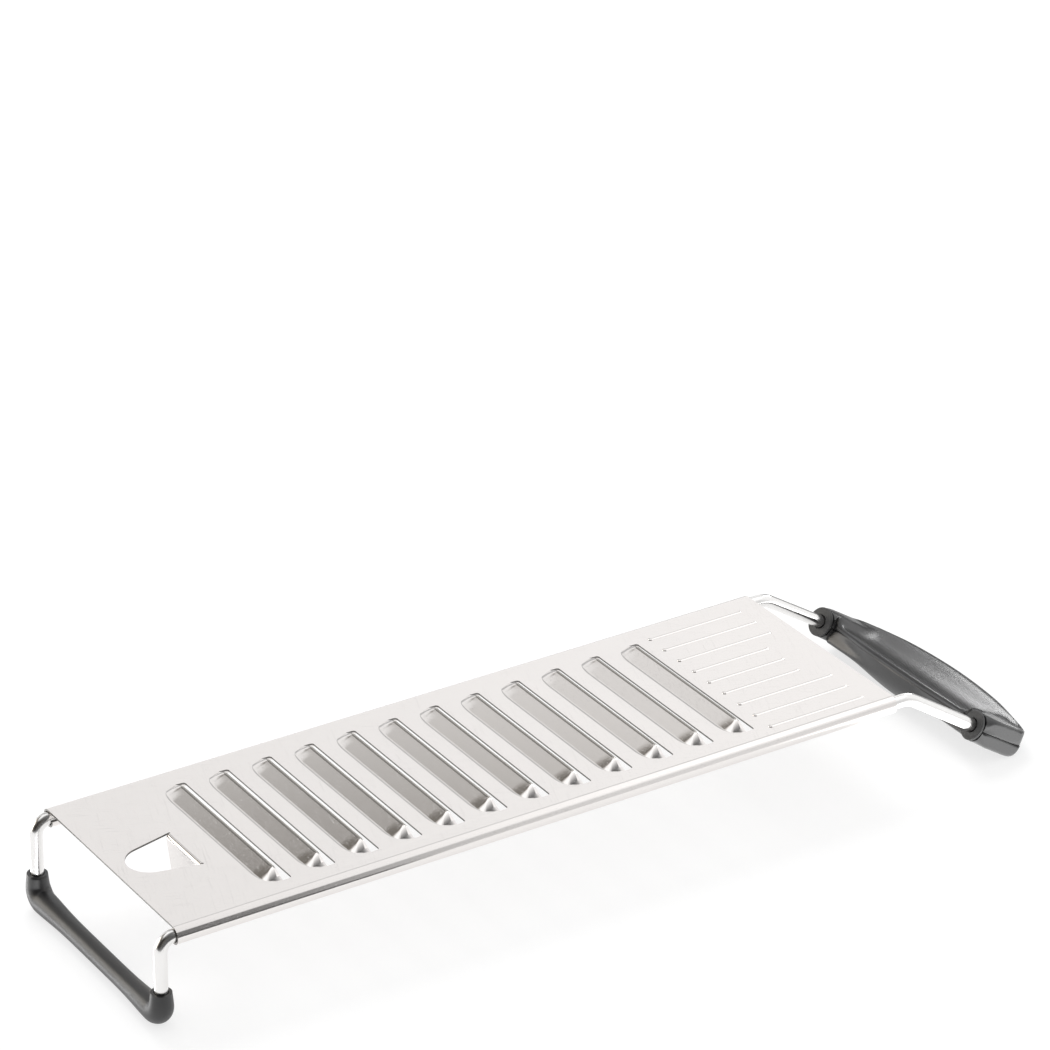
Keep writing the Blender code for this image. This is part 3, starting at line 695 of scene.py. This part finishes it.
def press_louvre(bm, slit_x):
    """Moves the points of a grid to where the punch pushes them, and joins the slit to it."""
    columns = louvre_columns()
    half = louvre_rows()
    rows = [-y for y in reversed(half)] + [0.0] + half
    grid = bmesh.ops.create_grid(
        bm, x_segments=len(columns) - 1, y_segments=len(rows) - 1, size=1
    )["verts"]
    lip_x = slit_x - SLIT_WIDTH
    lips = []
    for vert in grid:
        share = columns[round((vert.co.x + 1) / 2 * (len(columns) - 1))]
        row = rows[round((vert.co.y + 1) / 2 * (len(rows) - 1))]
        before, out, height = louvre_point(share, abs(row))
        vert.co = (lip_x - before, math.copysign(out, row), height)
        if share == columns[-1] and abs(row) < LOUVRE_HALF:
            lips.append(vert)
    bmesh.ops.remove_doubles(bm, verts=grid, dist=MERGE)
    tips = [
        next(vert for vert in bm.verts if (vert.co - Vector((lip_x, y, 0))).length < MERGE)
        for y in (LOUVRE_HALF, -LOUVRE_HALF)
    ]
    corners = [bm.verts.new((slit_x, y, 0)) for y in (LOUVRE_HALF, -LOUVRE_HALF)]
    for pair in zip(corners, tips):
        bm.edges.new(pair)
    bm.edges.new(corners)
    bmesh.ops.bevel(
        bm, geom=corners, offset=SLIT_CORNER, offset_type="OFFSET",
        segments=SLIT_CORNER_STEPS, affect="VERTICES", profile=0.5, material=-1,
    )
    return [vert for vert in lips if vert.is_valid]


print("points on a louvre:", len(louvre_columns()), "by", 2 * len(louvre_rows()) + 1)

# %% [markdown]
# A guide bead is a low round rib. Half of its section is five points, which are spun round one
# end, drawn along the bead, spun round the other end and drawn back to where they began.

# %% Press one bead
BEAD_COUNT = 9
BEAD_MIDDLE = -0.0022
BEAD_SPACING = 0.01115
BEAD_START = 0.2761
BEAD_LONG = 0.0462
BEAD_SHORT = 0.0373
BEAD_HALF_WIDTH = 0.00085
BEAD_RISE = 0.0006
BEAD_STEPS = 12
SHORT_BEADS = (3, 4, 5)
BEAD_SECTION = ((1.0, 0.0), (0.88, 0.3), (0.62, 0.7), (0.3, 0.93), (0.0, 1.0))


def only(kind, elements):
    return [element for element in elements if isinstance(element, kind)]


def draw_line(bm, edges, step):
    """Extrudes a line of edges by a step, and gives the new line."""
    made = bmesh.ops.extrude_edge_only(bm, edges=edges)["geom"]
    verts = only(bmesh.types.BMVert, made)
    bmesh.ops.translate(bm, verts=verts, vec=step)
    moved = set(verts)
    return [edge for edge in only(bmesh.types.BMEdge, made) if moved.issuperset(edge.verts)]


def spin_line(bm, edges, centre, axis, angle, steps):
    """Spins a line of edges round an axis, and gives the line where it ends."""
    verts = dict.fromkeys(vert for edge in edges for vert in edge.verts)
    spun = bmesh.ops.spin(
        bm, geom=[*verts, *edges], cent=centre, axis=axis, angle=angle, steps=steps,
        use_duplicate=False,
    )
    return only(bmesh.types.BMEdge, spun["geom_last"])


def press_bead(bm, start, end, y):
    first = start + BEAD_HALF_WIDTH
    length = end - start - 2 * BEAD_HALF_WIDTH
    before = set(bm.verts)
    section = [
        bm.verts.new((first, y + BEAD_HALF_WIDTH * out, BEAD_RISE * up))
        for out, up in BEAD_SECTION
    ]
    line = [bm.edges.new(pair) for pair in zip(section, section[1:])]
    line = spin_line(bm, line, (first, y, 0), (0, 0, 1), math.pi, BEAD_STEPS)
    line = draw_line(bm, line, (length, 0, 0))
    line = spin_line(bm, line, (first + length, y, 0), (0, 0, 1), math.pi, BEAD_STEPS)
    draw_line(bm, line, (-length, 0, 0))
    made = [vert for vert in bm.verts if vert not in before]
    bmesh.ops.remove_doubles(bm, verts=made, dist=MERGE)


print("beads:", BEAD_COUNT, "of which short:", len(SHORT_BEADS))

# %% [markdown]
# The hook near the foot is a tongue of the same sheet. Its straight side is spun a quarter
# turn, which bends it down, and its round tip is drawn as one flat face. The window is the
# hole that it leaves, a saw's width larger all round.

# %% Bend the tongue
TONGUE_BEND = 0.0318
TONGUE_MIDDLE = -0.0035
TONGUE_WIDTH = 0.0268
TONGUE_LENGTH = 0.0247
TONGUE_TIP_RADIUS = 0.0095
TONGUE_BEND_RADIUS = 0.0009
TONGUE_BEND_STEPS = 8
TONGUE_KERF = 0.0008
TIP_STEPS = 24


def tongue_outline(grow):
    """The tongue's round tip and straight sides: distance from the bend, and place across."""
    half = TONGUE_WIDTH / 2 + grow
    radius = TONGUE_TIP_RADIUS + grow
    centre = TONGUE_LENGTH - TONGUE_TIP_RADIUS
    narrowing = math.atan2(half, centre) - math.asin(radius / math.hypot(half, centre))
    turns = [1 - 2 * step / TIP_STEPS for step in range(TIP_STEPS + 1)]
    tip = [(math.pi / 2 - narrowing) * turn for turn in turns]
    line = [(centre + radius * math.cos(a), radius * math.sin(a)) for a in tip]
    return [(far, across + TONGUE_MIDDLE) for far, across in [(0.0, half), *line, (0.0, -half)]]


def bend_tongue(bm):
    near = TONGUE_MIDDLE - TONGUE_WIDTH / 2
    far = TONGUE_MIDDLE + TONGUE_WIDTH / 2
    root = [bm.verts.new((TONGUE_BEND, y, 0)) for y in (near, far)]
    centre = (TONGUE_BEND, 0, -TONGUE_BEND_RADIUS)
    root_edge = bm.edges.new(root)
    line = spin_line(bm, [root_edge], centre, (0, -1, 0), math.pi / 2, TONGUE_BEND_STEPS)
    bent_near, bent_far = sorted(line[0].verts, key=lambda vert: vert.co.y)
    face_x = TONGUE_BEND - TONGUE_BEND_RADIUS
    tip = [
        bm.verts.new((face_x, across, -TONGUE_BEND_RADIUS - down))
        for down, across in tongue_outline(0)[1:-1]
    ]
    bm.faces.new([bent_far, *tip, bent_near])
    kerf_end = TONGUE_KERF / 2
    opening = [(TONGUE_BEND - down, across) for down, across in tongue_outline(TONGUE_KERF)]
    opening = [(TONGUE_BEND + kerf_end, far + kerf_end), *opening]
    opening.append((TONGUE_BEND + kerf_end, near - kerf_end))
    window = [root[1], *(bm.verts.new((x, y, 0)) for x, y in opening), root[0]]
    for pair in zip(window, window[1:]):
        bm.edges.new(pair)


print("the tongue reaches", round(TONGUE_LENGTH + TONGUE_BEND_RADIUS, 4), "m below the flat")

# %% [markdown]
# Now the flat is filled between all the pressed forms, and its long edges are spun round the
# wire. The strip beside each lip is marked here for its own finish, while a louvre's height
# still tells it from the rest.

# %% Press the whole sheet
WIRE_RADIUS = 0.00275
SEAT_GAP = 0.0003
WIRE_Y = 0.0523
WIRE_Z = FLAT_Z - SEAT_GAP - WIRE_RADIUS
CURL_WRAP = math.radians(270)
CURL_STEPS = 48
FLAT_LIMIT = 0.00001
STRIP_FLOOR = 0.845


def fill_flat(bm):
    """Fills the sheet's flat between its corners and every pressed form."""
    corners = [
        bm.verts.new((x, y, 0))
        for x, y in ((0, -WIRE_Y), (PLATE_LENGTH, -WIRE_Y), (PLATE_LENGTH, WIRE_Y), (0, WIRE_Y))
    ]
    sides = [bm.edges.new(pair) for pair in zip(corners, corners[1:] + corners[:1])]
    outlines = [
        edge for edge in bm.edges
        if len(edge.link_faces) < 2 and all(abs(vert.co.z) < FLAT_LIMIT for vert in edge.verts)
    ]
    bmesh.ops.triangle_fill(
        bm, edges=outlines, use_beauty=True, use_dissolve=False, normal=(0, 0, 1)
    )
    return sides[0], sides[2]


def press_sheet():
    bm = bmesh.new()
    keen = []
    for number in range(LOUVRE_COUNT):
        keen += press_louvre(bm, FIRST_SLIT + number * LOUVRE_PITCH)
    bmesh.ops.translate(bm, verts=bm.verts, vec=(0, LOUVRE_MIDDLE, 0))
    strips = [
        face for face in bm.faces
        if face.calc_center_median().z > LOUVRE_RISE * STRIP_FLOOR
    ]
    for number in range(BEAD_COUNT):
        length = BEAD_SHORT if number in SHORT_BEADS else BEAD_LONG
        y = BEAD_MIDDLE + (number - (BEAD_COUNT - 1) / 2) * BEAD_SPACING
        press_bead(bm, BEAD_START, BEAD_START + length, y)
    bend_tongue(bm)
    for side, edge in zip((-1, 1), fill_flat(bm)):
        centre = (0, side * WIRE_Y, WIRE_Z - FLAT_Z)
        spin_line(bm, [edge], centre, (-side, 0, 0), CURL_WRAP, CURL_STEPS)
    for face in strips:
        face.material_index = 1
    bmesh.ops.recalc_face_normals(bm, faces=bm.faces)
    if max(bm.faces, key=lambda face: face.calc_area()).normal.z < 0:
        bmesh.ops.reverse_faces(bm, faces=bm.faces)
    bmesh.ops.translate(bm, verts=bm.verts, vec=(PLATE_START, 0, FLAT_Z))
    bm.verts.index_update()
    return bm, [vert.index for vert in keen]


sheet_mesh, keen_lips = press_sheet()
print("faces of the sheet:", len(sheet_mesh.faces), "and points on the lips:", len(keen_lips))

# %% [markdown]
# Then the sheet gets its thickness. The lips are ground keen, so it is thinner there: a vertex
# group tells the Solidify modifier how thick it is at each point. The result becomes the
# piece's own mesh, and its cut rim takes the third finish. Each piece is an object at the
# origin, with its place in its mesh. Edges that turn sharply are marked, and the rest is shaded
# smooth.

# %% Give the sheet its thickness
SHARP = math.radians(35)
SHARP_ON_SHEET = math.radians(18)
KEEN_EDGE = 0.00015
RIM_FINISH = 2


def new_piece(name, bm, materials, sharp=SHARP):
    """An object at the origin from a bmesh, with smooth faces between sharp edges."""
    mesh = bpy.data.meshes.new(name)
    bm.to_mesh(mesh)
    bm.free()
    mesh.shade_smooth()
    mesh.set_sharp_from_angle(angle=sharp)
    piece = bpy.data.objects.new(name, mesh)
    bpy.context.collection.objects.link(piece)
    for material in materials:
        mesh.materials.append(material)
    return piece


def settle(piece, node):
    """Hangs the piece under the root, hides the solid it stands for, and says which that is."""
    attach(piece, "root")
    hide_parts(node)
    print(piece.name, "stands for", node, "with", len(piece.data.polygons), "faces")


def thicken(sheet, keen):
    """Gives the sheet its thickness, and keeps the result as the piece's own mesh."""
    thickness = sheet.vertex_groups.new(name="full_thickness")
    full = set(range(len(sheet.data.vertices))) - set(keen)
    thickness.add(sorted(full), 1.0, "REPLACE")
    thickness.add(keen, KEEN_EDGE / SHEET, "REPLACE")
    solidify = sheet.modifiers.new("thickness", "SOLIDIFY")
    solidify.thickness = SHEET
    solidify.offset = 1
    solidify.use_even_offset = True
    solidify.material_offset_rim = RIM_FINISH
    solidify.vertex_group = thickness.name
    ready = sheet.evaluated_get(bpy.context.evaluated_depsgraph_get())
    solid = bpy.data.meshes.new_from_object(ready)
    sheet.modifiers.clear()
    sheet.vertex_groups.clear()
    sheet.data = solid
    solid.set_sharp_from_angle(angle=SHARP_ON_SHEET)


plate_finishes = (sheet_finish, ground_and_shade_finish, edge_finish)
louvred_plate = new_piece("louvred_plate", sheet_mesh, plate_finishes)
thicken(louvred_plate, keen_lips)
louvred_plate.modifiers.new("flat_faces_lead", "WEIGHTED_NORMAL").keep_sharp = True
settle(louvred_plate, "cutting_plate")

# %% [markdown]
# ## The wire
#
# The frame is one bent wire. It could be a curve with a round bevel, but a wire bender works
# in straights and turns, and bmesh has both: the wire's round end is extruded along each
# straight and spun round each bend, from one end in the handle to the other.

# %% Bend the wire
WIRE_SIDES = 32
NECK_X = 0.3415
COLLAR_X = 0.37255
COLLAR_Y = 0.05495
COLLAR_Z = 0.01785
SOCKET_DEPTH = 0.020
LEG_X = -0.0057
BAR_X = -0.0066
BAR_Z = 0.0049
NECK_BEND = 0.012
FOOT_BEND = 0.006
TURN_STEP = math.radians(5)
SHARP_ON_WIRE = math.radians(40)


def from_foot_edge(x, y, z):
    """A place whose X is measured from the plate's foot edge."""
    return Vector((PLATE_START + x, y, z))


def neck(side):
    """The bend before the handle, the collar's face, and the way from one to the other."""
    bend = from_foot_edge(NECK_X, side * WIRE_Y, WIRE_Z)
    collar = from_foot_edge(COLLAR_X, side * COLLAR_Y, COLLAR_Z)
    return bend, collar, (collar - bend).normalized()


def wire_route():
    """The corners of the wire's centre line, with the radius of each inner bend."""
    near_bend, near_collar, near_way = neck(-1)
    far_bend, far_collar, far_way = neck(1)
    corners = [near_collar + near_way * SOCKET_DEPTH, near_bend]
    corners += [from_foot_edge(LEG_X, -WIRE_Y, WIRE_Z), from_foot_edge(BAR_X, -WIRE_Y, BAR_Z)]
    corners += [from_foot_edge(BAR_X, WIRE_Y, BAR_Z), from_foot_edge(LEG_X, WIRE_Y, WIRE_Z)]
    corners += [far_bend, far_collar + far_way * SOCKET_DEPTH]
    return corners, [NECK_BEND, *(FOOT_BEND,) * 4, NECK_BEND]


def bend_wire():
    corners, radii = wire_route()
    bm = bmesh.new()
    way = (corners[1] - corners[0]).normalized()
    start = Matrix.Translation(corners[0]) @ way.to_track_quat("Z", "Y").to_matrix().to_4x4()
    bmesh.ops.create_circle(
        bm, cap_ends=True, radius=WIRE_RADIUS, segments=WIRE_SIDES, matrix=start
    )
    ring = bm.edges[:]
    at = corners[0]
    for before, corner, after, radius in zip(corners, corners[1:], corners[2:], radii):
        back = (before - corner).normalized()
        ahead = (after - corner).normalized()
        angle = math.pi - back.angle(ahead)
        bend_start = corner + back * (radius * math.tan(angle / 2))
        ring = draw_line(bm, ring, bend_start - at)
        centre = corner + (back + ahead).normalized() * (radius / math.cos(angle / 2))
        steps = round(angle / TURN_STEP)
        ring = spin_line(bm, ring, centre, ahead.cross(back), angle, steps)
        at = corner + ahead * (radius * math.tan(angle / 2))
    ring = draw_line(bm, ring, corners[-1] - at)
    bmesh.ops.contextual_create(bm, geom=ring)
    bmesh.ops.recalc_face_normals(bm, faces=bm.faces)
    return bm


wire = new_piece("bent_wire", bend_wire(), (wire_finish,), SHARP_ON_WIRE)
settle(wire, "wire_frame")

# %% [markdown]
# ## Black finishes
#
# The sleeve, the handle, its cover and the collars are four blacks. The sleeve is satin rubber.
# The handle is moulded with a fine eroded grain that breaks up its shine into sparkle, and its
# cover is glossier. The collars are coarse and grey, like cast grit. Each black is written as
# its darkest and lightest colour, its roughness, and the size and depth of its grain.

# %% Finish the mouldings
BLACKS = {
    "sleeve_black": ((0.007, 0.007, 0.008), (0.014, 0.014, 0.015), 0.40, 0.0006, 0.00004),
    "handle_black": ((0.004, 0.004, 0.005), (0.014, 0.014, 0.015), 0.36, 0.0005, 0.00002),
    "cover_black": ((0.004, 0.004, 0.005), (0.014, 0.014, 0.015), 0.30, 0.0005, 0.00004),
    "collar_grey": ((0.01, 0.01, 0.01), (0.09, 0.09, 0.09), 0.65, 0.0005, 0.00012),
}
SMEAR = (35, 35, 35)
GLOSS_LEVEL = 0.8
GRAIN_ROUGHENS = 0.12
SMEAR_ROUGHENS = 0.08
ROUGHNESS_DROP = 0.10


def moulded_black(name, dark, light, roughness, grain_size, depth):
    """A moulded finish: its grain is drawn in the colour, the shine and the relief."""
    material, finish = new_finish(name)
    grain = finish.noise((1 / grain_size,) * 3)
    smear = finish.noise(SMEAR)
    smooth = roughness - ROUGHNESS_DROP
    close_finish(finish, {
        "Base Color": finish.mix_colours(grain, dark, light),
        "Roughness": smooth + grain * GRAIN_ROUGHENS + smear * SMEAR_ROUGHENS,
        "Specular IOR Level": GLOSS_LEVEL,
        "Normal": finish.bump(grain, depth),
    })
    return material


blacks = {name: moulded_black(name, *look) for name, look in BLACKS.items()}
print("finishes:", ", ".join(blacks))

# %% [markdown]
# ## The foot sleeve and the handle
#
# These are moulded forms without flat sides. The packed solids hold their shape with few
# faces. Each is loose triangles, so a copy is merged and turned back into four-sided faces,
# the edges that should stay crisp are creased, and a Subdivision Surface modifier rounds the
# rest.

# %% Round the mouldings
CRISP = math.radians(60)
FLAT_ENOUGH = math.radians(25)
SQUARE_ENOUGH = math.radians(60)
ROUNDING_LEVELS = 2


def rounded_copy(node, name, material):
    """A copy of a moulded solid, rounded everywhere but along its crisp edges."""
    bm = bmesh.new()
    bm.from_mesh(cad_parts[node].data)
    bmesh.ops.remove_doubles(bm, verts=bm.verts, dist=MERGE)
    bmesh.ops.join_triangles(
        bm, faces=bm.faces, cmp_seam=False, cmp_sharp=False, cmp_uvs=False, cmp_vcols=False,
        cmp_materials=False, angle_face_threshold=FLAT_ENOUGH,
        angle_shape_threshold=SQUARE_ENOUGH,
    )
    crease = bm.edges.layers.float.new("crease_edge")
    for edge in bm.edges:
        if edge.calc_face_angle(0) > CRISP:
            edge[crease] = 1.0
    piece = new_piece(name, bm, (material,), CRISP)
    rounding = piece.modifiers.new("rounding", "SUBSURF")
    rounding.levels = rounding.render_levels = ROUNDING_LEVELS
    settle(piece, node)


rounded_copy("foot_sleeve", "sleeved_foot", blacks["sleeve_black"])
rounded_copy("handle_body", "moulded_handle", blacks["handle_black"])
rounded_copy("handle_cover", "dished_cover", blacks["cover_black"])

# %% [markdown]
# ## The collars
#
# A collar is a flanged bush, which a lathe would make: its profile is drawn once in metres
# along and out from the wire, and spun a full turn. The flange's rim is rounded by points
# listed in the profile, because moulded grit has no sharp edge.

# %% Turn the collars
FLANGE = 0.0012
FLANGE_RADIUS = 0.0065
FLANGE_ROUND = 0.0003
BUSH_RADIUS = 0.0038
BUSH_LENGTH = 0.008
BORE_GAP = 0.0003
BORE_RADIUS = WIRE_RADIUS + BORE_GAP
COLLAR_STEPS = 64
COLLAR_PROFILE = (
    (FLANGE_ROUND, BORE_RADIUS), (0.0, BORE_RADIUS + FLANGE_ROUND),
    (0.0, FLANGE_RADIUS - FLANGE_ROUND), (FLANGE_ROUND, FLANGE_RADIUS),
    (FLANGE, FLANGE_RADIUS), (FLANGE, BUSH_RADIUS), (BUSH_LENGTH, BUSH_RADIUS),
    (BUSH_LENGTH, BORE_RADIUS),
)


def turned_collar(side):
    bm = bmesh.new()
    verts = [bm.verts.new((along, 0, out)) for along, out in COLLAR_PROFILE]
    for vert, following in zip(verts, verts[1:] + verts[:1]):
        bm.edges.new((vert, following))
    bmesh.ops.spin(
        bm, geom=[*verts, *bm.edges], cent=(0, 0, 0), axis=(1, 0, 0), angle=2 * math.pi,
        steps=COLLAR_STEPS, use_merge=True,
    )
    bmesh.ops.remove_doubles(bm, verts=bm.verts, dist=MERGE)
    bmesh.ops.recalc_face_normals(bm, faces=bm.faces)
    _, place, way = neck(side)
    turn = way.to_track_quat("X", "Z").to_matrix().to_4x4()
    bmesh.ops.transform(bm, verts=bm.verts, matrix=Matrix.Translation(place) @ turn)
    return bm


for side, place in ((-1, "near"), (1, "far")):
    collar = new_piece(f"gritty_collar_{place}", turned_collar(side), (blacks["collar_grey"],))
    settle(collar, f"handle_collar_{place}")

# %% [markdown]
# ## Closing
